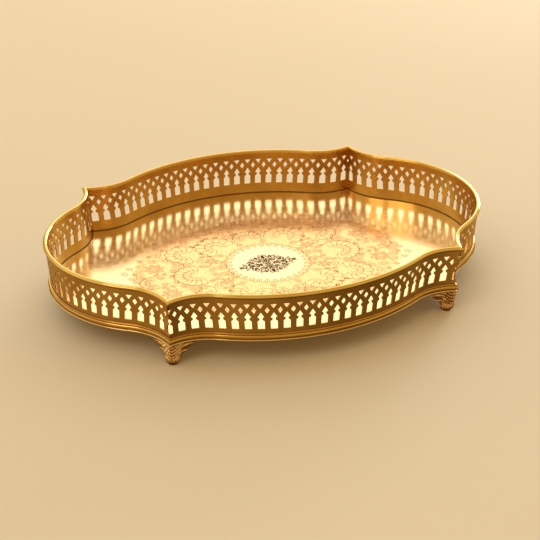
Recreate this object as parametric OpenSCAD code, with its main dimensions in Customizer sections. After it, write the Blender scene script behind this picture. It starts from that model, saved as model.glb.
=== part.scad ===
// Footed brass gallery tray. A flat sheet floor carries a pierced strip wall,
// a half-round base moulding, a rolled top bead and four cast corner feet.
// Origin: table level, under the middle of the floor. +X runs along the tray, +Z is up.

/* [Plan outline, measured on the middle of the wall at the top bead] */
// Half-length of the tray, out to the crown of each end
half_length = 177; // [168:0.5:186]
// Half-width of the tray, out to the crown of each long side
half_width = 130.4; // [127:0.1:133]
// Distance of each corner fold from the middle, along the tray
fold_x = 118; // [116:0.1:120]
// Distance of each corner fold from the middle, across the tray
fold_y = 105.7; // [104:0.1:107]
// Crown radius of the long sides
side_radius = 160.6; // [154:0.2:168]
// Radius of the hollow curves that lead the long sides into the folds
side_hollow = 40.8; // [38:0.1:44]
// Crown radius of the ends
end_radius = 84.9; // [82:0.1:88]
// Radius of the hollow curves that lead the ends into the folds
end_hollow = 47.4; // [45:0.1:51]

/* [Floor] */
// Height of the underside of the floor above the table
floor_under = 18; // [15:0.5:20]
// Thickness of the floor sheet
floor_t = 1.2; // [0.9:0.1:1.6]
// How far the floor sheet reaches outside the middle of the wall's foot
floor_lap = 2.6; // [2:0.1:2.7]

/* [Pierced wall] */
// Thickness of the strip
wall_t = 1; // [0.9:0.05:1]
// Height of the strip above the floor
wall_h = 35; // [34:0.1:38]
// Outward lean of the wall from upright, in degrees
wall_lean = 5.4; // [3:0.2:7]
// Number of pattern repeats along the front
front_cells = 25; // [21:2:27]
// Number of pattern repeats along the back
back_cells = 26; // [22:2:28]
// Number of pattern repeats along each end
end_cells = 25.5; // [23.5:1:26.5]

/* [Openings in the wall] */
// Height of the straight foot of each bottle above the floor
bottle_sill = 8.7; // [8:0.1:9.5]
// Height of one bottle
bottle_h = 14.2; // [13:0.1:14.5]
// Width of the bottle's body
bottle_w = 5.3; // [4.5:0.1:5.8]
// Width of the pointed stopper
stopper_w = 4.6; // [4:0.1:5]
// Radius of the round bites that make the neck
bite_r = 1.6; // [1.2:0.1:1.7]
// Width and height of the triangle over each bottle
triangle = [4.9, 3.7]; // [3:0.1:5]
// Gap between a bottle's tip and the triangle above it
triangle_gap = 3.5; // [3:0.1:4]
// Width and height of the diamond between bottles
diamond = [3.7, 5.4]; // [3:0.1:6]
// Height of the diamond's middle above the bottles' tips
diamond_rise = 2; // [1.5:0.1:2.5]

/* [Mouldings] */
// Radius of the top bead
rim_r = 1.75; // [1.5:0.05:2]
// Radius of the half-round base bead
bead_r = 2; // [1.8:0.1:2.2]
// Height of the base moulding above the floor
base_h = 5.3; // [5:0.1:6]
// Radius of the tack pins through the base bead
pin_r = 0.5; // [0.4:0.05:0.7]

/* [Feet] */
// Radius of the sole
sole_r = 5; // [4:0.1:6]
// Radius of the flare where the foot meets the floor
flare_r = 21; // [17:0.5:23]
// How far the middle of the sole lies inside the fold
foot_inset = 11; // [10:0.5:13]

/* [Hidden] */
$fn = 96;

bright = "gold";
plain = "goldenrod";
cast = "darkgoldenrod";

floor_top = floor_under + floor_t;
wall_top = floor_top + wall_h;
rim_axis = wall_top + 1.35;
bead_axis = floor_top + 1.9;
// Distance of the base bead's middle outside the middle of the wall's foot
bead_out = 0.9;
reach = 400;
// Film of solder between the wall and the base moulding
solder_gap = 0.1;
// How far the wall's middle has come in from the outline at a height z
function inset(z) = (rim_axis - z) * tan(wall_lean);
foot_in = inset(floor_top);
// Edge of the floor sheet, measured out from the outline
floor_edge_at = floor_lap - foot_in;

// A side is [crown distance, [fold along, fold out], crown radius, hollow radius],
// seen with its middle at x = 0 and the outside of the tray towards +Y.
long_side = [half_width, [fold_x, fold_y], side_radius, side_hollow];
short_side = [half_length, [fold_y, fold_x], end_radius, end_hollow];

// Middle of the crown arc
function crown(s) = [0, s[0] - s[2]];
// Turn of the wall, in degrees, where the crown arc meets the hollow arc
function turn(s) = let (d = s[1] - crown(s), far = s[2] + s[3])
    atan2(d.x, d.y) - acos((d * d + far * far - s[3] * s[3]) / (2 * norm(d) * far));
// Middle of the hollow arc, outside the wall
function hollow(s) = crown(s) + (s[2] + s[3]) * [sin(turn(s)), cos(turn(s))];
// Angle swept by the hollow arc up to the fold
function hollow_sweep(s) = let (d = s[1] - hollow(s))
    acos(-(d * [sin(turn(s)), cos(turn(s))]) / s[3]);
// Lengths along the wall of half the crown arc, and of the whole half side
function crown_len(s) = s[2] * turn(s) * PI / 180;
function half_len(s) = crown_len(s) + s[3] * hollow_sweep(s) * PI / 180;
// Turn of the outward normal, and place on the wall, at a distance q >= 0 from the middle
function turn_at(s, q) = q < crown_len(s) ? q / s[2] * 180 / PI
    : turn(s) - (q - crown_len(s)) / s[3] * 180 / PI;
function place_at(s, q, u = 0) = let (a = turn_at(s, q), n = [sin(a), cos(a)])
    q < crown_len(s) ? crown(s) + (s[2] + u) * n : hollow(s) - (s[3] - u) * n;

// The mitre through each fold halves the angle between the two walls
mitre = let (a = turn(long_side) - hollow_sweep(long_side), b = turn(short_side) - hollow_sweep(short_side),
    outward = [sin(a) + cos(b), cos(a) + sin(b)]) outward / norm(outward);
mitre_turn = atan2(mitre.x, mitre.y);
// The two mitres at one end of the tray meet here on its long axis
apex_x = fold_x - fold_y * mitre.x / mitre.y;

// How far the fold moves along a side for each millimetre that the wall comes in
function fold_slip(s) = let (a = turn(s) - hollow_sweep(s), along = s == long_side ? mitre.x : mitre.y,
    out = s == long_side ? mitre.y : mitre.x)
    (along * cos(a) - out * sin(a)) / (along * sin(a) + out * cos(a));

// Wedge of the plan that belongs to the back side, or to the right end
module back_wedge() {
    linear_extrude(wall_top * 2)
        polygon([[-apex_x, 0], [apex_x, 0], [apex_x, 0] + reach * mitre,
            [-apex_x - reach * mitre.x, reach * mitre.y]]);
}
module right_wedge() {
    linear_extrude(wall_top * 2)
        polygon([[apex_x, 0], [apex_x, 0] + reach * mitre,
            [apex_x + reach * mitre.x, -reach * mitre.y]]);
}

// Runs a section along one side, a little past both folds.
// The section is drawn by its child, with x outwards from the middle of the wall.
// Each half has its own frame, in which the two arcs meet on the y axis. The halves
// overlap in the middle by the lap, in degrees, so that they join into one solid.
module run(s) {
    past_fold = 8;
    lap = 1;
    for (m = [0, 1])
        mirror([m, 0, 0])
            translate(crown(s))
                rotate([0, 0, -turn(s)]) {
                    rotate_extrude(angle = turn(s) + lap, start = 90)
                        translate([s[2], 0])
                            children();
                    translate([0, s[2] + s[3]])
                        rotate_extrude(angle = hollow_sweep(s) + past_fold, start = 270)
                            translate([s[3], 0])
                                mirror([1, 0])
                                    children();
                }
}
module run_back() {
    intersection() {
        run(long_side)
            children();
        back_wedge();
    }
}
module run_right() {
    intersection() {
        rotate([0, 0, -90])
            run(short_side)
                children();
        right_wedge();
    }
}

// Puts its child on the wall at distance q from the middle of a side, x along and y outwards
module on_wall(s, q) {
    translate(place_at(s, abs(q)))
        rotate([0, 0, -turn_at(s, abs(q))])
            children();
}

module bottle() {
    body_top = bottle_h - 8.4;
    widest = bottle_h - 3.7;
    neck = bottle_h - 5.6;
    difference() {
        polygon([[-bottle_w / 2, 0], [bottle_w / 2, 0], [bottle_w / 2, body_top], [stopper_w / 2, neck],
            [stopper_w / 2, widest], [0, bottle_h], [-stopper_w / 2, widest], [-stopper_w / 2, neck],
            [-bottle_w / 2, body_top]]);
        for (side = [-1, 1])
            translate([side * bottle_w / 2, neck])
                circle(bite_r);
    }
}
// Stamps one opening. The openings lean with the wall and, towards a fold, along with the fold.
module cell_cut(s, q, has_bottle) {
    stamp = 12;
    fold_lean = atan(tan(wall_lean) * fold_slip(s) * q / half_len(s));
    on_wall(s, q)
        rotate([90, 0, 0])
            linear_extrude(stamp, center = true)
                translate([0, rim_axis])
                    rotate(-fold_lean)
                        translate([0, floor_top + bottle_sill - rim_axis])
                            if (has_bottle) {
                                bottle();
                                translate([0, bottle_h + triangle_gap])
                                    polygon([[0, 0], [triangle.x / 2, triangle.y],
                                        [-triangle.x / 2, triangle.y]]);
                            } else {
                                translate([0, bottle_h + diamond_rise])
                                    polygon([[0, -diamond.y / 2], [diamond.x / 2, 0],
                                        [0, diamond.y / 2], [-diamond.x / 2, 0]]);
                            }
}
// One side's row of openings, half a repeat apart, from fold to fold.
// The fold where it starts runs through a bottle, or else through a diamond.
module cell_row(s, cells, starts_on_bottle) {
    step = half_len(s) / cells;
    for (i = [0 : 2 * cells]) {
        q = i * step - half_len(s);
        mirror([q < 0 ? 1 : 0, 0, 0])
            cell_cut(s, abs(q), (i % 2 == 0) == starts_on_bottle);
    }
}
module wall_section() {
    half = wall_t / 2;
    head_in = inset(wall_top);
    polygon([[-foot_in - half, floor_top], [half - foot_in, floor_top],
        [half - head_in, wall_top], [-half - head_in, wall_top]]);
}

// Corner of the floor sheet, on the mitre
floor_corner = let (k = mitre * (long_side[1] - hollow(long_side)))
    long_side[1] + (-k - sqrt(k * k - (2 * side_hollow - floor_edge_at) * floor_edge_at)) * mitre;
// Edge of the floor sheet along half a side, from the crown to just short of its corner
function floor_edge(s, corner) = let (steps = 60, d = corner - hollow(s),
    last = crown_len(s) + s[3] * acos(-(d * [sin(turn(s)), cos(turn(s))]) / norm(d)) * PI / 180)
    [for (i = [0 : steps - 1]) place_at(s, i * last / steps, floor_edge_at)];
module floor_plate() {
    swapped = floor_edge(short_side, [floor_corner.y, floor_corner.x]);
    end_edge = [for (i = [len(swapped) - 1 : -1 : 0]) [swapped[i].y, swapped[i].x]];
    quarter = concat(floor_edge(long_side, floor_corner), [floor_corner], end_edge);
    last = len(quarter) - 1;
    color(bright)
        translate([0, 0, floor_under])
            linear_extrude(floor_t)
                polygon(concat(quarter,
                    [for (i = [last - 1 : -1 : 0]) [quarter[i].x, -quarter[i].y]],
                    [for (i = [1 : last]) [-quarter[i].x, -quarter[i].y]],
                    [for (i = [last - 1 : -1 : 1]) [-quarter[i].x, quarter[i].y]]));
}

// The pierced strip in four panels, soldered together at the folds.
// Both front folds run through a bottle, both back folds stand beside a diamond.
module long_panel(cells, starts_on_bottle) {
    difference() {
        run_back()
            wall_section();
        cell_row(long_side, cells, starts_on_bottle);
    }
}
module end_panel() {
    difference() {
        run_right()
            wall_section();
        rotate([0, 0, -90])
            mirror([1, 0, 0])
                cell_row(short_side, end_cells, true);
    }
}
module gallery_front() {
    color(plain)
        mirror([0, 1, 0])
            long_panel(front_cells, true);
}
module gallery_back() {
    color(plain)
        long_panel(back_cells, false);
}
module gallery_left() {
    color(plain)
        mirror([1, 0, 0])
            end_panel();
}
module gallery_right() {
    color(plain)
        end_panel();
}

// Top bead with a flat seat on the edge of the strip
module rim_section() {
    difference() {
        translate([0, rim_axis])
            circle(rim_r);
        translate([-rim_r, wall_top - rim_r])
            square([2 * rim_r, rim_r]);
    }
}
module rim_front() {
    color(bright)
        mirror([0, 1, 0])
            run_back()
                rim_section();
}
module rim_back() {
    color(bright)
        run_back()
            rim_section();
}
module rim_left() {
    color(bright)
        mirror([1, 0, 0])
            run_right()
                rim_section();
}
module rim_right() {
    color(bright)
        run_right()
            rim_section();
}

// Base moulding: half-round bead, a sunk line, and a thin fillet against the leaning wall
module base_section() {
    fillet_w = 1.8;
    fillet_h = 1;
    back_w = 1.2;
    lip = 0.3;
    top = floor_top + base_h;
    face = wall_t / 2 + solder_gap;
    difference() {
        translate([-foot_in, 0])
            union() {
                translate([bead_out, bead_axis])
                    circle(bead_r);
                translate([0, floor_top])
                    square([wall_t / 2 + back_w, base_h]);
                translate([0, top - fillet_h - lip])
                    square([wall_t / 2 + fillet_w, fillet_h]);
            }
        polygon([[face - foot_in, floor_top], [face - inset(top), top], [face - inset(top), top + bead_r],
            [-foot_in - 2 * bead_r, top + bead_r], [-foot_in - 2 * bead_r, floor_top]]);
        translate([-foot_in - 2 * bead_r, floor_top - bead_r])
            square([4 * bead_r + foot_in, bead_r]);
    }
}
module long_moulding() {
    difference() {
        run_back()
            base_section();
        side_pins(long_side, 0);
    }
}
module end_moulding() {
    difference() {
        run_right()
            base_section();
        rotate([0, 0, -90])
            side_pins(short_side, 0);
    }
}
module base_moulding_front() {
    color(plain)
        mirror([0, 1, 0])
            long_moulding();
}
module base_moulding_back() {
    color(plain)
        long_moulding();
}
module base_moulding_left() {
    color(plain)
        mirror([1, 0, 0])
            end_moulding();
}
module base_moulding_right() {
    color(plain)
        end_moulding();
}

// Tack pins of one side, driven through the bead: two near the folds, one between.
// Each runs from the given distance outside the middle of the wall to its head.
module side_pins(s, tip) {
    near_fold = 27;
    proud = 0.05;
    head = bead_out + bead_r + proud - foot_in;
    for (m = [0, 1], q = [0, half_len(s) - near_fold])
        if (q > 0 || m == 0)
            mirror([m, 0, 0])
                on_wall(s, q)
                    translate([0, tip - inset(bead_axis), bead_axis])
                        rotate([-90, 0, 0])
                            cylinder(h = head - tip + inset(bead_axis), r = pin_r);
}
module moulding_pins() {
    tip = wall_t / 2 + solder_gap + pin_r * tan(wall_lean);
    color(cast)
        for (m = [0, 1]) {
            mirror([0, m, 0])
                side_pins(long_side, tip);
            mirror([m, 0, 0])
                rotate([0, 0, -90])
                    side_pins(short_side, tip);
        }
}

// Cast foot: a flared stem whose two outer faces are hollowed to follow the moulding above
module foot_at(side_x, side_y) {
    steps = 12;
    collar = 1;
    shoulder = sole_r + 0.4;
    back = 19;
    flush = 0.4;
    flare = [for (i = [0 : steps]) let (h = i / steps)
        [shoulder + (flare_r - shoulder) * pow(h, 2.2), collar + (floor_under - collar) * h]];
    color(cast)
        mirror([side_x < 0 ? 1 : 0, 0, 0])
            mirror([0, side_y < 0 ? 1 : 0, 0])
                difference() {
                    translate([fold_x, fold_y])
                        rotate([0, 0, -mitre_turn])
                            intersection() {
                                translate([0, -foot_inset, 0])
                                    rotate_extrude()
                                        polygon(concat([[0, 0], [sole_r, 0]], flare, [[0, floor_under]]));
                                translate([-flare_r * 2, -back, 0])
                                    cube([flare_r * 4, back * 2, floor_under]);
                            }
                    translate([hollow(long_side).x, hollow(long_side).y, -1])
                        cylinder(h = floor_under + 2, r = side_hollow - floor_edge_at + flush);
                    translate([hollow(short_side).y, hollow(short_side).x, -1])
                        cylinder(h = floor_under + 2, r = end_hollow - floor_edge_at + flush);
                }
}
module foot_front_left() {
    foot_at(-1, -1);
}
module foot_front_right() {
    foot_at(1, -1);
}
module foot_back_left() {
    foot_at(-1, 1);
}
module foot_back_right() {
    foot_at(1, 1);
}

floor_plate();
gallery_front();
gallery_back();
gallery_left();
gallery_right();
rim_front();
rim_back();
rim_left();
rim_right();
base_moulding_front();
base_moulding_back();
base_moulding_left();
base_moulding_right();
foot_front_left();
foot_front_right();
foot_back_left();
foot_back_right();
moulding_pins();
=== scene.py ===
# A footed brass gallery tray, put together in the order a workshop would: the engraved floor
# sheet, the black panel, the pierced wall, the dark fillet and painted shade lines, the bead with
# its solder, the base moulding, the pins and the feet.
import math
import random
from types import SimpleNamespace

import bmesh
import bpy
from mathutils import Matrix, Vector
from mathutils.geometry import delaunay_2d_cdt


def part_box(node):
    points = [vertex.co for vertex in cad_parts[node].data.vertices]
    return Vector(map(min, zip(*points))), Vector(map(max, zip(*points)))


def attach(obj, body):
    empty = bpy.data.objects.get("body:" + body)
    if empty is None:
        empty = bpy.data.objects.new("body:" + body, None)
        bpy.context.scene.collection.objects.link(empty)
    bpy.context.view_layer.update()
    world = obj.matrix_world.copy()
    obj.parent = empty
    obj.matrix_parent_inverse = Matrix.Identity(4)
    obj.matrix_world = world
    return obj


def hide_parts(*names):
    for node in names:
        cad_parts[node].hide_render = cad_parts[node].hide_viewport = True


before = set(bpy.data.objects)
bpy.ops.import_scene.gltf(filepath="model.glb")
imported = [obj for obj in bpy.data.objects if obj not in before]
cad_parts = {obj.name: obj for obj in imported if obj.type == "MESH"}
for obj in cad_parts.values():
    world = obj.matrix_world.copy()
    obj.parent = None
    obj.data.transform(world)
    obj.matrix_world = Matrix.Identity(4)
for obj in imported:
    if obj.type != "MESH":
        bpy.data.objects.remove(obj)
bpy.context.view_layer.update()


# ---- Floor sheet ---------------------------------------------------------------------------
# One flat sheet of brass, sawn to a lobed outline and polished to a soft mirror. Its rounded
# edge laps out under the base moulding, which is soldered down on it.

MM = 0.001
sheet_low, sheet_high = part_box("floor_plate")
back_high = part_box("gallery_back")[1]
end_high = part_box("gallery_right")[1]
floor_top = sheet_high.z
wall_top = back_high.z
wall_t = 1.0 * MM
fold_x = 118 * MM
fold_y = 105.7 * MM
floor_lap = 2.6 * MM
wall_lean = math.tan(math.radians(5.4))
rim_axis = wall_top + 1.35 * MM


def inset(z):
    """How far the middle of the leaning wall has come in from the outline at a height z."""
    return (rim_axis - z) * wall_lean


foot_in = inset(floor_top)


def rounded_side(crown_out, fold_along, fold_out, crown_r, hollow_r):
    """One side of the outline, seen with its middle at along = 0: a crown arc, then a hollow arc
    up to the fold."""
    middle = Vector((0, crown_out - crown_r))
    fold = Vector((fold_along, fold_out))
    far = crown_r + hollow_r
    reach = (fold - middle).length
    lean = math.acos((reach ** 2 + far ** 2 - hollow_r ** 2) / (2 * reach * far))
    turn = math.atan2(fold_along, fold_out - middle.y) - lean
    way = Vector((math.sin(turn), math.cos(turn)))
    hollow = middle + way * far
    sweep = math.acos(-(fold - hollow).dot(way) / hollow_r)
    crown_len = crown_r * turn
    return SimpleNamespace(middle=middle, fold=fold, crown_r=crown_r, hollow_r=hollow_r, turn=turn,
                           hollow=hollow, crown_len=crown_len, half=crown_len + hollow_r * sweep)


head_out = inset(wall_top) - wall_t / 2
long_side = rounded_side(back_high.y + head_out, fold_x, fold_y, 160.6 * MM, 40.8 * MM)
short_side = rounded_side(end_high.x + head_out, fold_y, fold_x, 84.9 * MM, 47.4 * MM)


def on_side(side, q, u=0.0):
    """Plan point (along, out) and outward direction, q along the wall from its middle and u outside it."""
    sign = -1 if q < 0 else 1
    q = abs(q)
    if q < side.crown_len:
        angle = q / side.crown_r
        out = Vector((math.sin(angle), math.cos(angle)))
        point = side.middle + out * (side.crown_r + u)
    else:
        angle = side.turn - (q - side.crown_len) / side.hollow_r
        out = Vector((math.sin(angle), math.cos(angle)))
        point = side.hollow - out * (side.hollow_r - u)
    return Vector((sign * point.x, point.y)), Vector((sign * out.x, out.y))


long_out = on_side(long_side, long_side.half)[1]
short_out = on_side(short_side, short_side.half)[1]
mitre = (long_out + short_out.yx).normalized()
long_side.mitre = mitre
short_side.mitre = mitre.yx


def fold_end(side, u):
    """Distance along the wall at which the line u outside it meets the mitre through the fold."""
    d = side.fold - side.hollow
    near = d.dot(side.mitre)
    r = side.hollow_r - u
    end = side.fold + side.mitre * (-near - math.sqrt(near ** 2 - d.length_squared + r ** 2))
    out = (side.hollow - end) / r
    return side.crown_len + side.hollow_r * (side.turn - math.atan2(out.x, out.y))


SIDES = {
    "front": (long_side, lambda p: Vector((p.x, -p.y))),
    "back": (long_side, lambda p: Vector((p.x, p.y))),
    "left": (short_side, lambda p: Vector((-p.y, p.x))),
    "right": (short_side, lambda p: Vector((p.y, p.x))),
}


def outline(u, steps):
    """The whole outline u outside the wall, anticlockwise from the front left fold."""
    ring = []
    for name, sense in (("front", 1), ("right", 1), ("back", -1), ("left", -1)):
        side, place = SIDES[name]
        end = fold_end(side, u)
        for i in range(steps):
            q = sense * end * (2 * i / steps - 1)
            ring.append(place(on_side(side, q, u)[0]))
    return ring


def finished(name, bm, material, sharp=None, replaces=None):
    """Turns a bmesh into a piece of the tray with outward faces, its material and its place in the frame."""
    bmesh.ops.recalc_face_normals(bm, faces=bm.faces)
    mesh = bpy.data.meshes.new(name)
    bm.to_mesh(mesh)
    bm.free()
    if sharp:
        mesh.set_sharp_from_angle(angle=math.radians(sharp))
    piece = bpy.data.objects.new(name, mesh)
    bpy.context.scene.collection.objects.link(piece)
    mesh.materials.append(material)
    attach(piece, "root")
    if replaces:
        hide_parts(replaces)
    return piece


def rgb(hex_code):
    """A colour given as sRGB hex, as the linear values that the shaders take."""
    parts = [int(hex_code[i:i + 2], 16) / 255 for i in (1, 3, 5)]
    return tuple(c / 12.92 if c <= 0.04045 else ((c + 0.055) / 1.055) ** 2.4 for c in parts) + (1,)


def add(tree, kind, settings=None, **inputs):
    """Adds a node. Inputs are values or other nodes' output sockets. They go by socket name with _
    for a space, or by i and the socket's number where names repeat."""
    node = tree.nodes.new(kind)
    for key, value in (settings or {}).items():
        setattr(node, key, value)
    for key, value in inputs.items():
        if key[0] == "i" and key[1:].isdigit():
            socket = node.inputs[int(key[1:])]
        else:
            socket = node.inputs[key.replace("_", " ")]
        if isinstance(value, bpy.types.NodeSocket):
            tree.links.new(value, socket)
        else:
            socket.default_value = value
    return node


def mixed(tree, amount, first, second):
    """The colour between two others, from the first at 0 to the second at 1."""
    mix = add(tree, "ShaderNodeMix", {"data_type": "RGBA"}, i0=amount, i6=first, i7=second)
    return mix.outputs[2]


def blank(name):
    """A new material with only its output, and that output."""
    material = bpy.data.materials.new(name)
    material.use_nodes = True
    material.node_tree.nodes.clear()
    return material, material.node_tree, add(material.node_tree, "ShaderNodeOutputMaterial")


def brass(name, light, deep, roughness, wave_mm, wave_depth_mm, grain_mm, grain_depth_mm):
    """Polished brass: warm metal whose tone drifts a little, over a slow wave from the rolling mill
    and a fine grain from the buff."""
    material, tree, end = blank(name)
    place = add(tree, "ShaderNodeTexCoord").outputs["Object"]
    drift = add(tree, "ShaderNodeTexNoise", Vector=place, Scale=1 / (28 * MM), Detail=3.0)
    tone = mixed(tree, drift.outputs["Fac"], rgb(light), rgb(deep))
    haze = add(tree, "ShaderNodeTexNoise", Vector=place, Scale=1 / (6 * MM), Detail=4.0)
    rough = add(tree, "ShaderNodeMapRange", Value=haze.outputs["Fac"], From_Min=0.3, From_Max=0.7,
                To_Min=roughness * 0.8, To_Max=roughness * 1.25)
    wave = add(tree, "ShaderNodeTexNoise", Vector=place, Scale=1 / (wave_mm * MM), Detail=1.0)
    wave_bump = add(tree, "ShaderNodeBump", Strength=1.0, Distance=wave_depth_mm * MM,
                    Height=wave.outputs["Fac"])
    grain = add(tree, "ShaderNodeTexNoise", Vector=place, Scale=1 / (grain_mm * MM), Detail=2.0)
    grain_bump = add(tree, "ShaderNodeBump", Strength=1.0, Distance=grain_depth_mm * MM,
                     Height=grain.outputs["Fac"], Normal=wave_bump.outputs["Normal"])
    metal = add(tree, "ShaderNodeBsdfPrincipled", Base_Color=tone, Metallic=1.0,
                Roughness=rough.outputs["Result"], Normal=grain_bump.outputs["Normal"])
    tree.links.new(metal.outputs["BSDF"], end.inputs["Surface"])
    return material


# Rolled sheet, buffed: the eye sees a pale straw mirror, a little soft, with faint slow waves.
sheet_brass = brass("polished_sheet_brass", "#ffedc8", "#f6dcaa", 0.16, 45, 0.012, 1.2, 0.0006)


def floor_sheet():
    """The sheet with a half-round edge: rings of the outline, closed by one flat face above and below."""
    bm = bmesh.new()
    edge_r = (sheet_high.z - sheet_low.z) / 2
    turns = 8
    steps = 150
    rings = []
    for i in range(turns + 1):
        angle = math.pi * (0.5 - i / turns)
        u = floor_lap - foot_in - edge_r + edge_r * math.cos(angle)
        z = sheet_low.z + edge_r * (1 + math.sin(angle))
        rings.append([bm.verts.new((p.x, p.y, z)) for p in outline(u, steps)])
    for upper, lower in zip(rings, rings[1:]):
        for i, _ in enumerate(upper):
            face = bm.faces.new((upper[i - 1], upper[i], lower[i], lower[i - 1]))
            face.smooth = True
    bm.faces.new(rings[0])
    bm.faces.new(list(reversed(rings[-1])))
    return finished("floor_sheet", bm, sheet_brass, replaces="floor_plate")


floor_sheet()


# ---- Engraving -----------------------------------------------------------------------------
# Scrollwork etched into the sheet round a clear middle: shells, leaves and curls, the same in
# each quarter. The etched lines keep a thin coppery film, so they read pinkish on the brass.

figure_middle = Vector((-1.0, -6.0)) * MM
line_rise = 0.02 * MM
line_sink = 0.03 * MM


def stroke(bm, points, widths):
    """One engraved line: a thin closed ribbon through the points, with a width at each of them."""
    rows = []
    for i, point in enumerate(points):
        way = points[min(i + 1, len(points) - 1)] - points[max(i - 1, 0)]
        aside = Vector((-way.y, way.x)).normalized() * widths[i] / 2
        corners = []
        for p, z in ((point - aside, -line_sink), (point - aside, line_rise), (point + aside, line_rise),
                     (point + aside, -line_sink)):
            corners.append(bm.verts.new((p.x, p.y, floor_top + z)))
        rows.append(corners)
    for a, b in zip(rows, rows[1:]):
        for k in range(4):
            bm.faces.new((a[k], a[(k + 1) % 4], b[(k + 1) % 4], b[k]))
    bm.faces.new(rows[0])
    bm.faces.new(list(reversed(rows[-1])))


def taper(count, thick, start=0.25, end=0.25):
    """Widths that swell from a fine start to the full thickness and run out fine again."""
    widths = []
    for i in range(count):
        t = i / (count - 1)
        body = math.sin(math.pi * t) ** 0.6 if 0 < t < 1 else 0
        tail = start * (1 - t) + end * t
        widths.append(thick * (tail + (1 - tail) * body))
    return widths


def arc(middle, r, start, end, count):
    return [middle + r * Vector((math.cos(a), math.sin(a)))
            for a in (start + (end - start) * i / (count - 1) for i in range(count))]


def curl(middle, r, start, sense, turns, count=22):
    """A spiral that winds in from radius r."""
    points = []
    for i in range(count):
        t = i / (count - 1)
        a = start + sense * 2 * math.pi * turns * t
        points.append(middle + r * (1 - 0.78 * t) * Vector((math.cos(a), math.sin(a))))
    return points


def leaf(base, tip, belly, count=9):
    """The two bowed edges and the midrib of a pointed leaf."""
    run = tip - base
    aside = Vector((-run.y, run.x)) * belly
    edges = []
    for side in (-1, 0, 1):
        edges.append([base + run * (i / (count - 1)) + aside * side * math.sin(math.pi * i / (count - 1))
                      for i in range(count)])
    return edges


def shell(r, ribs, facing, spread):
    """A fan shell of radius r about the origin: ribs, two cross bands and a scalloped edge."""
    lines = []
    for i in range(ribs + 1):
        a = facing + spread * (i / ribs - 0.5)
        way = Vector((math.cos(a), math.sin(a)))
        bow = Vector((-way.y, way.x)) * r * 0.10 * math.sin((i / ribs - 0.5) * math.pi)
        rib = [way * r * (0.26 + 0.66 * t / 5) + bow * math.sin(math.pi * t / 5) for t in range(6)]
        lines.append((rib, 0.5))
    for part in (0.24, 0.6):
        lines.append((arc(Vector((0, 0)), r * part, facing - spread / 2, facing + spread / 2, 18), 0.55))
    for i in range(ribs):
        a = facing + spread * ((i + 0.5) / ribs - 0.5)
        knuckle = Vector((math.cos(a), math.sin(a))) * r * 0.93
        lobe = r * spread / ribs * 0.5
        lines.append((arc(knuckle, lobe, a - 1.7, a + 1.7, 7), 0.65))
    return lines


def rosette(r, petals):
    """A flower of looped petals about a small ring."""
    lines = [(arc(Vector((0, 0)), r * 0.2, 0, 2 * math.pi, 9), 0.45)]
    for i in range(petals):
        a = 2 * math.pi * i / petals
        way = Vector((math.cos(a), math.sin(a)))
        for edge in leaf(way * r * 0.26, way * r, 0.26, 7):
            lines.append((edge, 0.5))
    return lines


def sprig(r, facing, sense):
    """A curl with a comb of short leaves along its back, the filling between the larger figures."""
    lines = [(curl(Vector((0, 0)), r * 0.62, facing, sense, 1.35), 0.62)]
    for i in range(7):
        a = facing + sense * (0.25 + i * 0.62)
        root = Vector((math.cos(a), math.sin(a))) * r * 0.68
        lean = a + sense * 0.75
        tip = root + Vector((math.cos(lean), math.sin(lean))) * r * 0.46
        bend = Vector((-(tip - root).y, (tip - root).x)) * 0.16 * sense
        lines.append(([root, (root + tip) / 2 + bend, tip], 0.6))
    return lines


def wave_band(middle, r_in, r_out, start, end, count):
    """Nested arcs, the hatching that fills the larger scrolls."""
    step = (r_out - r_in) / (count - 1)
    return [(arc(middle, r_in + step * i, start + 0.12 * i, end - 0.12 * i, 16), 0.5)
            for i in range(count)]


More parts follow.
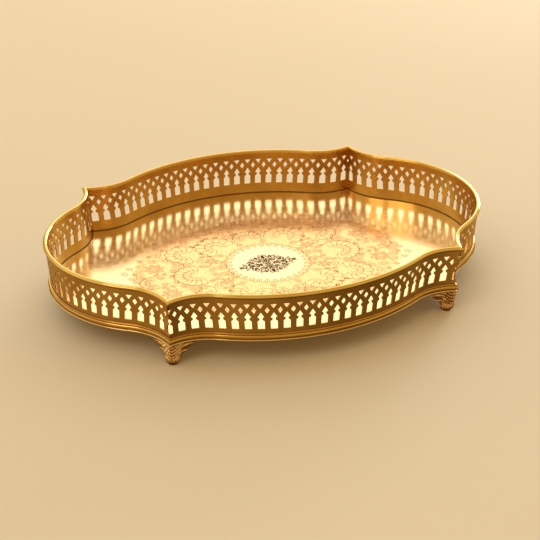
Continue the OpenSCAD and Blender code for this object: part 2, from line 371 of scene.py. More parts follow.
def engraving():
    """Lays the figures out in one quarter, fills between them, and repeats the quarter four times."""
    chance = random.Random(7)
    reach_x = 112 * MM
    reach_y = 80 * MM
    clear_r = 29 * MM
    bold = 1.3 * MM
    quarter = []
    taken = []
    figures = (
        ("shell", 30, 41, 14.5, 9, 54),
        ("shell", 58, 37, 13.5, 9, 20),
        ("rosette", 88, 22, 8.5, 8, 0),
        ("rosette", 41, 18, 6.0, 6, 0),
        ("curl", 77, 44, 6.0, 1, 250),
        ("curl", 85, 36, 5.0, -1, 60),
        ("curl", 97, 31, 5.0, 1, 120),
        ("curl", 52, 58, 5.5, -1, 330),
        ("curl", 17, 62, 6.0, 1, 200),
    )
    for kind, x, y, r, count, facing in figures:
        place = Vector((x, y)) * MM
        facing = math.radians(facing)
        r = r * MM
        if kind == "shell":
            lines = shell(r, count, facing, math.radians(250))
        elif kind == "rosette":
            lines = rosette(r, count)
        else:
            lines = sprig(r, facing, count)
        quarter += [([place + p for p in points], thick * bold) for points, thick in lines]
        taken.append((place, r))
    scrolls = (
        (46, 60, 3.0, 8.5, -60, 200, 4),
        (72, 22, 3.0, 8.0, 60, 330, 4),
        (100, 12, 2.4, 6.0, -130, 130, 3),
        (14, 50, 2.6, 7.2, -20, 220, 4),
        (66, 56, 2.4, 6.4, -90, 170, 3),
        (38, 8, 2.0, 5.4, 90, 400, 3),
    )
    for x, y, r_in, r_out, start, end, count in scrolls:
        place = Vector((x, y)) * MM
        start = math.radians(start)
        band = wave_band(place, r_in * MM, r_out * MM, start, math.radians(end), count)
        quarter += [(points, thick * bold) for points, thick in band]
        quarter.append((curl(place, r_in * 0.8 * MM, start, 1, 1.1, 12), 0.5 * bold))
        taken.append((place, r_out * MM))
    on_axis = ((62, 0, 15.0, 0), (0, 47, 11.0, 90), (97, 0, 9.0, 0), (0, 70, 9.0, 90))
    for x, y, r, facing in on_axis:
        taken.append((Vector((x, y)) * MM, r * MM))
    for _ in range(9000):
        r = chance.uniform(2.4, 5.4) * MM
        place = Vector((chance.uniform(0, reach_x), chance.uniform(0, reach_y)))
        edge = math.hypot(place.x / reach_x, place.y / reach_y)
        scallop = 1 - 0.05 * math.cos(10 * math.atan2(place.y / reach_y, place.x / reach_x))
        if edge > scallop or place.length < clear_r + 5 * MM + r or min(place.x, place.y) < r:
            continue
        if any((place - other).length < 0.88 * (r + other_r) for other, other_r in taken):
            continue
        taken.append((place, r))
        facing = chance.uniform(0, 2 * math.pi)
        quarter += [([place + p for p in points], thick * bold)
                    for points, thick in sprig(r * 1.1, facing, chance.choice((-1, 1)))]
    bm = bmesh.new()
    for sx in (-1, 1):
        for sy in (-1, 1):
            for points, thick in quarter:
                placed = [figure_middle + Vector((sx * p.x, sy * p.y)) for p in points]
                stroke(bm, placed, taper(len(placed), thick))
    for x, y, r, facing in on_axis:
        for turned in (0, math.pi):
            place = Vector((x, y)) * MM * (1 if turned == 0 else -1)
            for points, thick in shell(r * MM, 11, math.radians(facing) + turned, math.radians(230)):
                stroke(bm, [figure_middle + place + p for p in points], taper(len(points), thick * bold))
    teeth = 32
    for i in range(teeth):
        a = 2 * math.pi * i / teeth
        way = Vector((math.cos(a), math.sin(a)))
        base = figure_middle + way * (clear_r + 5.5 * MM)
        tip = figure_middle + way * (clear_r - 0.5 * MM)
        for edge in leaf(base, tip, 0.34, 9):
            stroke(bm, edge, taper(len(edge), 0.6 * bold))
        gap = a + math.pi / teeth
        bud = figure_middle + Vector((math.cos(gap), math.sin(gap))) * (clear_r + 4.5 * MM)
        stroke(bm, arc(bud, 1.3 * MM, gap - 2.2, gap + 2.2, 8), taper(8, 0.6 * bold))
    return finished("floor_engraving", bm, etched_line)


def plain_finish(name, light, deep, patch_mm, metallic, roughness):
    """A dull finish whose colour is mottled between two tones."""
    material, tree, end = blank(name)
    place = add(tree, "ShaderNodeTexCoord").outputs["Object"]
    patch = add(tree, "ShaderNodeTexNoise", Vector=place, Scale=1 / (patch_mm * MM), Detail=3.0)
    tone = mixed(tree, patch.outputs["Fac"], rgb(light), rgb(deep))
    bump = add(tree, "ShaderNodeBump", Strength=0.5, Distance=0.02 * MM, Height=patch.outputs["Fac"])
    skin = add(tree, "ShaderNodeBsdfPrincipled", Base_Color=tone, Metallic=metallic,
               Roughness=roughness, Normal=bump.outputs["Normal"])
    tree.links.new(skin.outputs["BSDF"], end.inputs["Surface"])
    return material


# Etched brass with its copper film: matt pinkish tan, lighter and darker from line to line.
etched_line = plain_finish("etched_copper_film", "#d39f6e", "#b07f52", 9, 1.0, 0.45)
engraving()


def etched_ground(material):
    """Between the lines the sheet is etched satin: a finer net of pinkish lines, from the clear ring to
    the lobed edge of the figure."""
    ground_x = 113 * MM
    ground_y = 81 * MM
    ring_in = 31 * MM
    ring_out = 35 * MM
    mesh_size = 2.1 * MM
    skin = 0.3 * MM
    tree = material.node_tree
    metal = next(node for node in tree.nodes if node.type == "BSDF_PRINCIPLED")
    plain = metal.inputs["Base Color"].links[0].from_socket

    def maths(kind, first, second):
        return add(tree, "ShaderNodeMath", {"operation": kind}, i0=first, i1=second).outputs[0]

    def vector(kind, first, second):
        return add(tree, "ShaderNodeVectorMath", {"operation": kind}, i0=first, i1=second).outputs[0]

    def length(socket):
        node = add(tree, "ShaderNodeVectorMath", {"operation": "LENGTH"}, i0=socket)
        return node.outputs["Value"]

    place = add(tree, "ShaderNodeTexCoord").outputs["Object"]
    centred = vector("SUBTRACT", place, (*figure_middle, 0))
    flat = vector("MULTIPLY", centred, (1, 1, 0))
    oval = vector("MULTIPLY", flat, (1 / ground_x, 1 / ground_y, 0))
    within = add(tree, "ShaderNodeMapRange", Value=length(oval), From_Min=0.95, From_Max=1.0, To_Min=1.0,
                 To_Max=0.0)
    around = add(tree, "ShaderNodeMapRange", Value=length(flat), From_Min=ring_in, From_Max=ring_out)
    net = add(tree, "ShaderNodeTexVoronoi", {"feature": "DISTANCE_TO_EDGE"}, Vector=flat,
              Scale=1 / mesh_size)
    line = add(tree, "ShaderNodeMapRange", Value=net.outputs["Distance"], From_Min=0.05, From_Max=0.16,
               To_Min=0.95, To_Max=0.5)
    height = add(tree, "ShaderNodeSeparateXYZ", Vector=place).outputs["Z"]
    upper = maths("GREATER_THAN", height, floor_top - skin)
    both = maths("MULTIPLY", within.outputs[0], around.outputs[0])
    amount = maths("MULTIPLY", maths("MULTIPLY", both, upper), line.outputs[0])
    tree.links.new(mixed(tree, amount, plain, rgb("#eabf85")), metal.inputs["Base Color"])


etched_ground(sheet_brass)


# ---- Black panel ---------------------------------------------------------------------------
# A lozenge of black arabesque in the clear middle, filled with hard lacquer: two stems that wind
# out from a flower to both points, with smaller flowers, leaves and curls round them.

black_lacquer = plain_finish("black_lacquer", "#222b28", "#111716", 5, 0.0, 0.4)
panel_middle = Vector((-1.7, -7.7)) * MM


def black_panel():
    chance = random.Random(23)
    half_w = 23.5 * MM
    half_h = 17 * MM
    quarter = []
    taken = []
    flowers = (
        (0, 0, 3.0),
        (7.2, 0, 2.6),
        (13.2, 0, 2.2),
        (0, 6.6, 2.4),
        (0, 12.2, 1.9),
        (5.8, 5.4, 2.5),
        (11.4, 4.6, 1.9),
    )
    for x, y, r in flowers:
        place = Vector((x, y)) * MM
        quarter += [([place + p for p in points], thick * MM * 0.95)
                    for points, thick in rosette(r * MM, 6)]
        taken.append((place, r * MM))
    for _ in range(5000):
        r = chance.uniform(0.8, 1.7) * MM
        place = Vector((chance.uniform(0, half_w), chance.uniform(0, half_h)))
        rim = 0.97 + 0.07 * math.cos(22 * math.atan2(place.y, place.x))
        if (place.x / half_w) ** 1.15 + (place.y / half_h) ** 1.15 > rim or place.y < 0.5 * r:
            continue
        if any((place - other).length < 0.8 * (r + other_r) for other, other_r in taken):
            continue
        taken.append((place, r))
        for points, thick in sprig(r * 1.15, chance.uniform(0, 2 * math.pi), chance.choice((-1, 1))):
            quarter.append(([place + p for p in points], thick * MM * 0.8))
    for way in (-1, 1):
        end = Vector((22.6, 1.1 * way)) * MM
        quarter.append((curl(end, 2.0 * MM, math.pi, way, 1.1, 14), 0.5 * MM))
    bm = bmesh.new()
    for sx in (-1, 1):
        for sy in (-1, 1):
            for points, thick in quarter:
                placed = [panel_middle + Vector((sx * p.x, sy * p.y)) for p in points]
                stroke(bm, placed, taper(len(placed), thick, 0.4, 0.4))
    return finished("black_panel", bm, black_lacquer)


black_panel()


# ---- Pierced wall --------------------------------------------------------------------------
# Four strips of 1 mm brass, stamped with bottles, triangles and diamonds half a repeat apart,
# bent to the outline and soldered on edge to the floor. The stamped edges are eased.

edge_ease = 0.12 * MM
sill = 8.7 * MM
bottle_h = 14.2 * MM
bottle_w = 5.3 * MM
stopper_w = 4.6 * MM
bite_r = 1.6 * MM
triangle_w = 4.9 * MM
triangle_h = 3.7 * MM
triangle_up = sill + bottle_h + 3.5 * MM
diamond_w = 3.7 * MM
diamond_h = 5.4 * MM
diamond_up = sill + bottle_h + 2 * MM


def bottle_half():
    """Right half of a bottle's outline, from the middle of its foot to the point of its stopper."""
    shoulder = bottle_h - 8.4 * MM
    neck = bottle_h - 5.6 * MM
    widest = bottle_h - 3.7 * MM
    slope = (bottle_w - stopper_w) / 2 / (neck - shoulder)
    low = 2 * math.pi - math.acos(-slope * (neck - bite_r - shoulder) / bite_r)
    high = math.acos((stopper_w - bottle_w) / 2 / bite_r)
    bite = arc(Vector((bottle_w / 2, neck)), bite_r, low, high, 9)
    return [Vector((0, 0)), Vector((bottle_w / 2, 0)), Vector((bottle_w / 2, shoulder)), *bite,
            Vector((stopper_w / 2, widest)), Vector((0, bottle_h))]


triangle_half = [Vector((0, 0)), Vector((triangle_w / 2, triangle_h)), Vector((0, triangle_h))]
diamond_half = [Vector((0, -diamond_h / 2)), Vector((diamond_w / 2, 0)), Vector((0, diamond_h / 2))]
HALVES = {
    "bottle": (sill, bottle_half()),
    "triangle": (triangle_up, triangle_half),
    "diamond": (diamond_up, diamond_half),
}


def grown(half, by):
    """The half outline moved outwards by a distance, its ends kept on the middle line."""
    full = half + [Vector((-p.x, p.y)) for p in reversed(half[1:-1])]
    moved = []
    for i in range(len(half)):
        before = (full[i] - full[i - 1]).normalized()
        after = (full[(i + 1) % len(full)] - full[i]).normalized()
        a = Vector((before.y, -before.x))
        b = Vector((after.y, -after.x))
        join = (a + b).normalized()
        moved.append(full[i] + join * by / max(join.dot(a), 0.45))
    return moved


def inside(point, ring):
    hit = False
    for a, b in zip(ring, ring[1:] + ring[:1]):
        if (a.y > point.y) != (b.y > point.y):
            if point.x < a.x + (b.x - a.x) * (point.y - a.y) / (b.y - a.y):
                hit = not hit
    return hit


def pierced_strip(name, side_name, cells, starts_on_bottle):
    """One strip, laid out flat as (distance along, height), meshed there, then bent to its side."""
    side, place = SIDES[side_name]
    step = side.half / cells
    last_stretch = 3 * MM
    height = wall_top - floor_top
    bm = bmesh.new()
    along_layer = bm.verts.layers.float.new("along")
    skin_layer = bm.faces.layers.int.new("skin")

    def bent(q, z, u):
        """A point of the flat strip, on the leaning one. Its last few millimetres stretch to the mitre."""
        u = u - inset(floor_top + z)
        middle_end = fold_end(side, -inset(floor_top + z))
        near = max(0, (abs(q) - side.half + last_stretch) / last_stretch)
        q = q * middle_end / side.half + math.copysign((fold_end(side, u) - middle_end) * near, q)
        p = place(on_side(side, q, u)[0])
        vert = bm.verts.new((p.x, p.y, floor_top + z))
        vert[along_layer] = q
        return vert

    edges = []
    hems = 4 * cells * 2
    flat = []
    bottom = [Vector((side.half * (2 * i / hems - 1), 0)) for i in range(int(hems) + 1)]
    top = [Vector((p.x, height)) for p in bottom]
    flat += bottom + top
    n = len(bottom)
    edges += [(i, i + 1) for i in range(n - 1)] + [(n + i, n + i + 1) for i in range(n - 1)]
    edges += [(0, n), (n - 1, 2 * n - 1)]
    for z in (3 * MM, 6.5 * MM, 9.5 * MM, height - 2 * MM):
        flat += [Vector((p.x, z)) for p in bottom[1:-1:2]]
    cuts = []
    rings = {}
    for i in range(int(2 * cells) + 1):
        q = i * step - side.half
        kinds = ("bottle", "triangle") if (i % 2 == 0) == starts_on_bottle else ("diamond",)
        for kind in kinds:
            up, half = HALVES[kind]
            wide = grown(half, edge_ease)
            parts = []
            for line in (half, wide):
                right = [Vector((q + p.x, up + p.y)) for p in line]
                left = [Vector((q - p.x, up + p.y)) for p in line]
                full = right + list(reversed(left[1:-1]))
                if i == 0:
                    parts.append(right)
                elif i == int(2 * cells):
                    parts.append(left)
                else:
                    parts.append(full)
                ring = full
            closed = 0 < i < int(2 * cells)
            rings.setdefault(i, []).append(ring)
            cuts.append((parts[0], parts[1], closed))
            start = len(flat)
            flat += parts[1]
            count = len(parts[1])
            edges += [(start + k, start + k + 1) for k in range(count - 1)]
            if closed:
                edges.append((start + count - 1, start))
    verts, _, faces, _, _, _ = delaunay_2d_cdt(flat, edges, [], 0, 1e-8)
    outer = [bent(v.x, v.y, wall_t / 2) for v in verts]
    inner = [bent(v.x, v.y, -wall_t / 2) for v in verts]
    for face in faces:
        middle = sum((verts[k] for k in face), Vector((0, 0))) / 3
        if not (0 < middle.y < height and abs(middle.x) < side.half):
            continue
        i = round((middle.x + side.half) / step)
        if any(inside(middle, ring) for k in (i - 1, i, i + 1) for ring in rings.get(k, [])):
            continue
        bm.faces.new([outer[k] for k in face])[skin_layer] = 1
        bm.faces.new([inner[k] for k in face])[skin_layer] = 2
    for line, wide, closed in cuts + [(bottom, bottom, False), (top, top, False)]:
        if line is wide:
            levels = ((line, wall_t / 2), (line, -wall_t / 2))
        else:
            levels = ((wide, wall_t / 2), (line, wall_t / 2 - edge_ease), (line, edge_ease - wall_t / 2),
                      (wide, -wall_t / 2))
        rows = [[bent(p.x, p.y, u) for p in points] for points, u in levels]
        for a, b in zip(rows, rows[1:]):
            for k in range(0 if closed else 1, len(a)):
                bm.faces.new((a[k - 1], a[k], b[k], b[k - 1]))
    loose = [v for v in bm.verts if not v.link_faces]
    bmesh.ops.delete(bm, geom=loose, context="VERTS")
    bmesh.ops.remove_doubles(bm, verts=bm.verts, dist=0.002 * MM)
    open_edges = [e for e in bm.edges if len(e.link_faces) == 1]
    bmesh.ops.holes_fill(bm, edges=open_edges, sides=0)
    for face in bm.faces:
        face.smooth = True
    piece = finished(name, bm, strip_brass, replaces="gallery_" + side_name)
    mesh = piece.data
    along = mesh.attributes["along"].data
    skin = mesh.attributes["skin"].data
    normals = []
    for poly in mesh.polygons:
        for k in poly.vertices:
            if skin[poly.index].value:
                out = place(on_side(side, along[k].value)[1])
                normal = Vector((out.x, out.y, -wall_lean)).normalized()
                normals.append(normal if normal.dot(poly.normal) > 0 else -normal)
            else:
                normals.append(poly.normal.copy())
    mesh.normals_split_custom_set(normals)
    return piece


# Stamped strip, buffed less brightly than the floor: deep golden brown that turns bright where it
# catches the light, with fine drawing marks.
strip_brass = brass("stamped_strip_brass", "#efca7e", "#ad7e34", 0.23, 22, 0.03, 0.9, 0.0012)
pierced_strip("wall_front", "front", 25, True)
pierced_strip("wall_back", "back", 26, False)
pierced_strip("wall_left", "left", 25.5, True)
pierced_strip("wall_right", "right", 25.5, True)


def fold_ribs():
    """The rounded bend of the strip at both front folds, left standing above and below the bottle."""
    rib_r = 0.85 * MM
    sides = 20
    bm = bmesh.new()
    stretches = ((0, sill), (triangle_up + triangle_h, wall_top - floor_top))
    for sx in (-1, 1):
        for low, high in stretches:
            rings = []
            for z, r in ((low, 0.9), (low + 0.1 * MM, 1), (high - 0.1 * MM, 1), (high, 0.9)):
                u = -inset(floor_top + z)
                fold = on_side(long_side, fold_end(long_side, u), u)[0]
                points = arc(Vector((sx * fold.x, -fold.y)), rib_r * r, 0, 2 * math.pi, sides + 1)[:-1]
                rings.append([bm.verts.new((p.x, p.y, floor_top + z)) for p in points])
            for a, b in zip(rings, rings[1:]):
                for k in range(sides):
                    bm.faces.new((a[k - 1], a[k], b[k], b[k - 1])).smooth = True
            bm.faces.new(rings[0])
            bm.faces.new(rings[-1])
    return finished("fold_ribs", bm, strip_brass, sharp=40)


fold_ribs()


# ---- Bead ----------------------------------------------------------------------------------
# A drawn bead in four lengths sits on the edge of the strip, mitred and soldered at the folds.
# A drawn line runs along it, so it shows a top band and an outer band.

def swept(name, side_name, profile, material, replaces, rows=210, sharp=28):
    """Runs a closed profile of (u, z) points along one side, mitred at both folds."""
    side, place = SIDES[side_name]
    bm = bmesh.new()
    grid = []
    reaches = [fold_end(side, u) for u, _ in profile]
    for i in range(rows + 1):
        t = 2 * i / rows - 1
        row = []
        for (u, z), reach in zip(profile, reaches):
            p = place(on_side(side, t * reach, u)[0])
            row.append(bm.verts.new((p.x, p.y, z)))
        grid.append(row)
    for a, b in zip(grid, grid[1:]):
        for k in range(len(profile)):
            bm.faces.new((a[k - 1], a[k], b[k], b[k - 1])).smooth = True
    bm.faces.new(grid[0])
    bm.faces.new(list(reversed(grid[-1])))
    return finished(name, bm, material, sharp, replaces)


def bead_profile():
    outer_lobe = Vector((0.62 * MM, wall_top + 1.08 * MM))
    top_lobe = Vector((-0.35 * MM, wall_top + 1.70 * MM))
    outer_r = 1.09 * MM
    top_r = 1.38 * MM
    points = arc(outer_lobe, outer_r, math.radians(-82), math.radians(71), 13)
    points += arc(top_lobe, top_r, math.radians(19), math.radians(228), 17)
    return [(p.x, max(p.y, wall_top)) for p in points] + [(-0.9 * MM, wall_top)]


def solder_lumps():
    """Rounded lumps of solder over the bead's two front mitres."""
    bm = bmesh.new()
    for sx, length in ((-1, 1.0), (1, 0.8)):
        fold = Vector((sx * (fold_x - 0.3 * MM), -(fold_y - 0.5 * MM), wall_top + 1.45 * MM))
        turn = Matrix.Rotation(math.atan2(-mitre.y, sx * mitre.x), 4, "Z")
        size = Matrix.Diagonal((1.75 * MM, 2.1 * MM * length, 1.5 * MM, 1))
        bmesh.ops.create_uvsphere(bm, u_segments=28, v_segments=18, radius=1.0,
                                  matrix=Matrix.Translation(fold) @ turn @ size)
    for face in bm.faces:
        face.smooth = True
    return finished("solder_lumps", bm, bead_brass)


moulding_h = 5.3 * MM


def dark_fillet_and_shade_lines(side_name):
    """The thin dark lines: a dark fillet at the foot of the strip inside, and painted shade under the bead
    and over the moulding, where their overhangs shade the wall."""
    face = -foot_in - wall_t / 2
    foot = [(face, floor_top - 0.02 * MM), (face + 0.05 * MM, floor_top + 0.75 * MM),
            (face - 0.2 * MM, floor_top + 0.4 * MM), (face - 0.55 * MM, floor_top + 0.12 * MM),
            (face - 0.8 * MM, floor_top - 0.02 * MM)]
    # Painted shade: a dark strip on the wall's outer face just under the bead's overhang.
    face = wall_t / 2 - inset(wall_top)
    head = [(face - 0.1 * MM, wall_top - 0.5 * MM), (face + 0.12 * MM, wall_top - 0.35 * MM),
            (face + 0.4 * MM, wall_top + 0.05 * MM), (face - 0.1 * MM, wall_top + 0.05 * MM)]
    # Painted shade: a dark strip where the top of the moulding meets the wall.
    high = floor_top + moulding_h
    face = wall_t / 2 - inset(high)
    over_moulding_shade = [(face - 0.1 * MM, high - 0.05 * MM), (face + 0.5 * MM, high - 0.05 * MM),
             (face + 0.16 * MM, high + 0.25 * MM), (face - 0.05 * MM, high + 0.5 * MM)]
    for where, profile in (("foot", foot), ("head", head), ("over_moulding_shade", over_moulding_shade)):
        swept("seam_%s_%s" % (where, side_name), side_name, profile, fillet_and_shade_dark, None)


# A matt brown line: a dark fillet at the foot of the strip inside, and painted shade under the bead and over
# the moulding.
fillet_and_shade_dark = plain_finish("dark_fillet_and_painted_shade", "#80581f", "#4a2f10", 7, 0.3, 0.5)
for side_name in SIDES:
    dark_fillet_and_shade_lines(side_name)


# Drawn wire brass, polished by hand in use: the brightest metal on the tray.
bead_brass = brass("drawn_bead_brass", "#f7d98c", "#e3b962", 0.13, 14, 0.012, 1.5, 0.0008)
for side_name in SIDES:
    swept("bead_" + side_name, side_name, bead_profile(), bead_brass, "rim_" + side_name)
solder_lumps()


# ---- Base moulding -------------------------------------------------------------------------
# A half-round moulding with a sunk line and a thin fillet covers the foot of the wall. It is
# drawn in four lengths, mitred at the folds, tacked through with pins and soldered.

moulding_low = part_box("base_moulding_back")[0].z
moulding_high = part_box("base_moulding_back")[1].z
bead_out = 0.9 * MM
bead_axis = moulding_low + 1.9 * MM
bead_r = 2.0 * MM


def moulding_profile():
    points = [Vector((0.6 * MM, moulding_low)), Vector((bead_out + 0.9 * MM, moulding_low + 0.02 * MM))]
    points += arc(Vector((bead_out, bead_axis)), bead_r, math.radians(-62), math.radians(62), 19)
    groove = moulding_low + 3.8 * MM
    points += [Vector((1.5 * MM, groove)), Vector((1.5 * MM, groove + 0.15 * MM))]
    fillet = Vector((1.85 * MM, moulding_low + 4.5 * MM))
    points += arc(fillet, 0.45 * MM, math.radians(-85), math.radians(85), 9)
    points += [Vector((1.68 * MM, moulding_high - 0.3 * MM)),
               Vector((1.62 * MM, moulding_high - 0.05 * MM)), Vector((1.5 * MM, moulding_high)),
               Vector((0.6 * MM + moulding_h * wall_lean, moulding_high))]
    return [(p.x - foot_in, p.y) for p in points]


moulding_brass = brass("drawn_moulding_brass", "#e9c274", "#c69844", 0.15, 16, 0.015, 1.5, 0.001)
for side_name in SIDES:
    swept("moulding_" + side_name, side_name, moulding_profile(), moulding_brass,
          "base_moulding_" + side_name)


# ---- Pins ----------------------------------------------------------------------------------
# Twelve small brass tacks pin the moulding before it is soldered. Their domed heads are
# coloured dark brown.

pin_brass = plain_finish("dark_brown_pin_brass", "#4a3518", "#2a1c0c", 3, 0.8, 0.45)


def pins():
    near_fold = 27 * MM
    sides = 18
    profile = ((0.5, 0.85), (0.5, 2.4), (0.5, 2.72), (0.42, 2.84), (0.26, 2.92), (0.1, 2.95))
    bm = bmesh.new()
    for side, place in SIDES.values():
        for q in (near_fold - side.half, 0, side.half - near_fold):
            rings = []
            for r, u in profile:
                middle, out = on_side(side, q, u * MM - foot_in)
                along = Vector((out.y, -out.x)) * r * MM
                ring = []
                for k in range(sides):
                    a = 2 * math.pi * k / sides
                    p = place(middle + along * math.cos(a))
                    ring.append(bm.verts.new((p.x, p.y, bead_axis + r * MM * math.sin(a))))
                rings.append(ring)
            for a, b in zip(rings, rings[1:]):
                for k in range(sides):
                    bm.faces.new((a[k - 1], a[k], b[k], b[k - 1])).smooth = True
            bm.faces.new(rings[0])
            bm.faces.new(rings[-1])
    return finished("tack_pins", bm, pin_brass, sharp=50, replaces="moulding_pins")


pins()


# ---- Feet ----------------------------------------------------------------------------------
# Four cast feet: a leaf that springs from under each corner, follows both hollow curves and
# gathers into a ribbed shell toe. Cast in sand, antiqued, then rubbed bright on the ridges.

foot_inset = 11 * MM
toe_r = 5.35 * MM
foot_top = sheet_low.z


def step_up(low, high, x):
    """Smooth step from 0 at low to 1 at high. Low may be the larger of the two."""
    x = min(1, max(0, (x - low) / (high - low)))
    return x * x * (3 - 2 * x)


def bracket_reach(way, start):
    """How far the top of the leaf runs from the foot's axis before the edge of the sheet."""
    flush = 0.5 * MM
    reach = 1.0
    for middle, r in ((long_side.hollow, long_side.hollow_r), (short_side.hollow.yx, short_side.hollow_r)):
        r = r - floor_lap + foot_in + flush
        d = start - middle
        near = d.dot(way)
        inner = near ** 2 - d.length_squared + r ** 2
        if inner > 0 and -near - math.sqrt(inner) > 0:
            reach = min(reach, -near - math.sqrt(inner))
    return reach


def cast_relief(turn, t):
    """Height of the cast ornament, 0 to 1: a lobed leaf with a midrib above, a fanned shell on the toe."""
    away = abs(turn)
    front = 1 - step_up(1.9, 2.6, away)
    rise = max(0, (t - 0.34) / 0.66)
    lobe = (4.3 * rise - 1.15 * away + 0.3 + 0.25 * math.sin(3 * away)) % 1
    scale = math.sin(math.pi * lobe) ** 0.6
    vein = 0.5 + 0.5 * math.cos(2 * math.pi * (3.1 * away - 1.5 * rise))
    midrib = math.exp(-(turn / 0.11) ** 2)
    leaf_height = max(0.68 * scale + 0.32 * vein * scale, 0.95 * midrib)
    shell_height = 0.35 + 0.5 * abs(math.cos(8 * turn)) ** 0.7
    toe = 1 - step_up(0.30, 0.38, t)
    return front * (toe * shell_height + (1 - toe) * leaf_height)


def foot(name, sx, sy):
    around = 192
    up = 112
    axis = Vector((fold_x, fold_y)) - mitre * foot_inset
    across = Vector((mitre.y, -mitre.x))
    bm = bmesh.new()
    relief_layer = bm.verts.layers.float.new("relief")
    grid = []
    for j in range(up + 1):
        t = j / up
        row = []
        for i in range(around):
            turn = 2 * math.pi * (i / around - 0.5)
            away = abs(turn)
            way = mitre * math.cos(turn) + across * math.sin(turn)
            limit = (12 + 7.5 * step_up(0.5, 1.0, math.sin(away)) * step_up(3.0, 1.6, away)) * MM
            edge = min(bracket_reach(way, axis), limit if away > 0.55 else 1.0)
            toe = 0.75 * MM * math.sin(math.pi * step_up(0.0, 0.42, t))
            waist = 0.45 * MM * math.exp(-((t - 0.42) / 0.10) ** 2)
            r = toe_r - 0.8 * MM + toe - waist + (edge - toe_r) * t ** 1.7
            wing = step_up(0.9, 1.5, away) * step_up(2.4, 1.7, away)
            r += wing * 1.1 * MM * math.sin(math.pi * step_up(0.4, 0.98, t) * 3) * t
            r *= 1 - 0.16 * (1 - step_up(0.0, 0.2, t))
            height = cast_relief(turn, t)
            fade = step_up(0.02, 0.10, t) * (1 - step_up(0.95, 1.0, t))
            r += (height - 0.5) * fade * 1.7 * MM * (0.45 + 0.95 * t)
            lean = 1.2 * MM * math.sin(math.pi * (1 - t) ** 1.5)
            p = axis + way * r + mitre * lean * 0.6
            vert = bm.verts.new((sx * p.x, sy * p.y, foot_top * t))
            vert[relief_layer] = height
            row.append(vert)
        grid.append(row)
    for a, b in zip(grid, grid[1:]):
        for k in range(around):
            bm.faces.new((a[k - 1], a[k], b[k], b[k - 1])).smooth = True
    bm.faces.new(grid[0])
    bm.faces.new(grid[-1])
    return finished("cast_" + name, bm, cast_brass, sharp=60, replaces=name)


def antique_cast(name):
    """Sand-cast brass: dark stain in the hollows, rubbed bright on the ridges, with a fine sandy skin."""
    material, tree, end = blank(name)
    place = add(tree, "ShaderNodeTexCoord").outputs["Object"]
    relief = add(tree, "ShaderNodeAttribute", {"attribute_name": "relief"})
    patch = add(tree, "ShaderNodeTexNoise", Vector=place, Scale=1 / (3 * MM), Detail=4.0)
    rubbed = add(tree, "ShaderNodeMath", {"operation": "MULTIPLY_ADD"}, i0=patch.outputs["Fac"], i1=0.5,
                 i2=relief.outputs["Fac"])
    tone = add(tree, "ShaderNodeValToRGB", Fac=rubbed.outputs[0])
    ramp = tone.color_ramp
    ramp.elements[0].position = 0.25
    ramp.elements[0].color = rgb("#3c2414")
    ramp.elements[1].position = 1.05 / 1.1
    ramp.elements[1].color = rgb("#efcb94")
    ramp.elements.new(0.6).color = rgb("#b58250")
    rough = add(tree, "ShaderNodeMapRange", Value=rubbed.outputs[0], From_Min=0.3, From_Max=1.1, To_Min=0.5,
                To_Max=0.24)
    sand = add(tree, "ShaderNodeTexNoise", Vector=place, Scale=1 / (0.5 * MM), Detail=2.0)
    bump = add(tree, "ShaderNodeBump", Strength=0.6, Distance=0.05 * MM, Height=sand.outputs["Fac"])
    metal = add(tree, "ShaderNodeBsdfPrincipled", Base_Color=tone.outputs["Color"], Metallic=1.0,
                Roughness=rough.outputs["Result"], Normal=bump.outputs["Normal"])
    tree.links.new(metal.outputs["BSDF"], end.inputs["Surface"])
    return material


cast_brass = antique_cast("antiqued_cast_brass")
for name, sx, sy in (("foot_front_left", -1, -1), ("foot_front_right", 1, -1), ("foot_back_left", -1, 1),
                     ("foot_back_right", 1, 1)):
    foot(name, sx, sy)


# ---- Table, light and camera -----------------------------------------------------------------
# A pale matt table under a large warm softbox behind the tray. The room is bright behind and
# brown in front, which is what gives polished brass its dark and light bands.

def table():
    bm = bmesh.new()
    bmesh.ops.create_grid(bm, x_segments=1, y_segments=1, size=6.0)
    mesh = bpy.data.meshes.new("table")
    bm.to_mesh(mesh)
    bm.free()
    top = bpy.data.objects.new("table", mesh)
    bpy.context.scene.collection.objects.link(top)
    mesh.materials.append(plain_finish("matt_pale_table", "#e6ded2", "#e0d7ca", 400, 0.0, 0.8))
    top.visible_glossy = False


def softbox(name, place, target, width, height, watts, colour):
    light = bpy.data.lights.new(name, "AREA")
    light.shape = "RECTANGLE"
    light.size = width
    light.size_y = height
    light.energy = watts
    light.color = rgb(colour)[:3]
    box = bpy.data.objects.new(name, light)
    box.location = place
    box.rotation_euler = (Vector(target) - Vector(place)).to_track_quat("-Z", "Y").to_euler()
    bpy.context.scene.collection.objects.link(box)


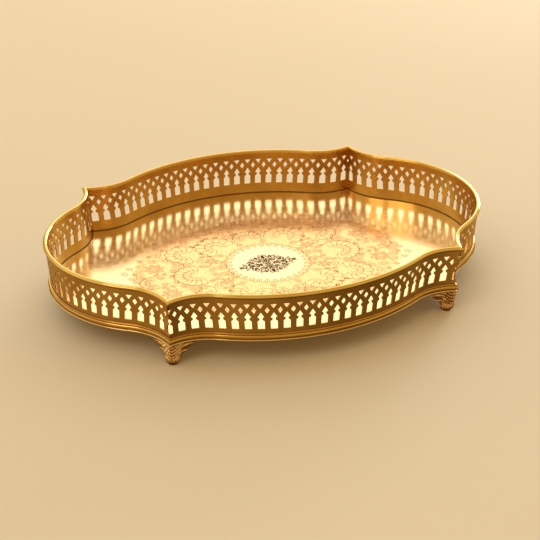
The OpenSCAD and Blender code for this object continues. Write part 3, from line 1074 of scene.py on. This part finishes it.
def room():
    """The surroundings: brown below, bright behind the tray and above it, dim in front."""
    world = bpy.data.worlds.new("room")
    bpy.context.scene.world = world
    world.use_nodes = True
    tree = world.node_tree
    tree.nodes.clear()
    way = add(tree, "ShaderNodeSeparateXYZ", Vector=add(tree, "ShaderNodeTexCoord").outputs["Generated"])
    height = add(tree, "ShaderNodeMapRange", Value=way.outputs["Z"], From_Min=-1.0, From_Max=1.0)
    low = add(tree, "ShaderNodeValToRGB", Fac=height.outputs["Result"])
    low.color_ramp.elements[0].color = rgb("#50331f")
    low.color_ramp.elements[1].color = rgb("#fff4e2")
    bands = (
        (0.12, "#5c4024"),
        (0.24, "#c5a268"),
        (0.33, "#a6834a"),
        (0.42, "#6a4620"),
        (0.5, "#b8904e"),
        (0.58, "#f2dcaa"),
    )
    for at, colour in bands:
        low.color_ramp.elements.new(at).color = rgb(colour)
    back = add(tree, "ShaderNodeMapRange", Value=way.outputs["Y"], From_Min=-0.7, From_Max=0.5, To_Min=0.72,
               To_Max=1.0)
    right = add(tree, "ShaderNodeMapRange", Value=way.outputs["X"], From_Min=-0.35, From_Max=0.6, To_Min=1.15,
                To_Max=0.48)
    front = add(tree, "ShaderNodeMapRange", Value=way.outputs["Y"], From_Min=-0.1, From_Max=0.3)
    above = add(tree, "ShaderNodeMapRange", Value=way.outputs["Z"], From_Min=-0.2, From_Max=0.08)
    even = add(tree, "ShaderNodeMath", {"operation": "MAXIMUM"}, i0=front.outputs["Result"],
               i1=above.outputs["Result"])
    light = add(tree, "ShaderNodeMix", {"data_type": "FLOAT"}, i0=even.outputs[0], i2=right.outputs["Result"],
                i3=back.outputs["Result"])
    ahead = add(tree, "ShaderNodeMath", {"operation": "MULTIPLY_ADD"}, i0=front.outputs["Result"],
                i1=-1.0, i2=1.0)
    lamp = add(tree, "ShaderNodeMath", {"operation": "MULTIPLY"}, i0=ahead.outputs[0],
               i1=above.outputs["Result"])
    tone = mixed(tree, lamp.outputs[0], low.outputs["Color"], rgb("#ecca88"))
    shade = add(tree, "ShaderNodeBackground", Color=tone, Strength=light.outputs[0])
    add(tree, "ShaderNodeOutputWorld", Surface=shade.outputs["Background"])


table()
room()
softbox("softbox_back", (0.75, 1.75, 1.0), (0, 0.05, 0.05), 2.6, 1.7, 12.3, "#ffeed6")
softbox("softbox_left", (-1.6, -0.9, 1.9), (0, 0, 0.03), 1.3, 1.3, 9, "#fff2dc")
softbox("softbox_right", (1.6, 1.5, 0.42), (0.15, 0, 0.04), 0.9, 0.6, 18, "#fff6e6")

camera_data = bpy.data.cameras.new("camera")
camera_data.lens = 116.25
camera_data.sensor_width = 36
camera = bpy.data.objects.new("camera", camera_data)
camera_back = Vector((-0.3289, -0.8258, 0.4582)).normalized()
camera_right = Vector((-camera_back.y, camera_back.x, 0)).normalized()
camera_up = camera_back.cross(camera_right)
camera.matrix_world = Matrix.Translation(Vector((-457.3, -1155.8, 650.1)) * MM) @ Matrix(
    (camera_right, camera_up, camera_back)).transposed().to_4x4()
bpy.context.scene.collection.objects.link(camera)
bpy.context.scene.camera = camera
bpy.context.scene.view_settings.view_transform = "Standard"
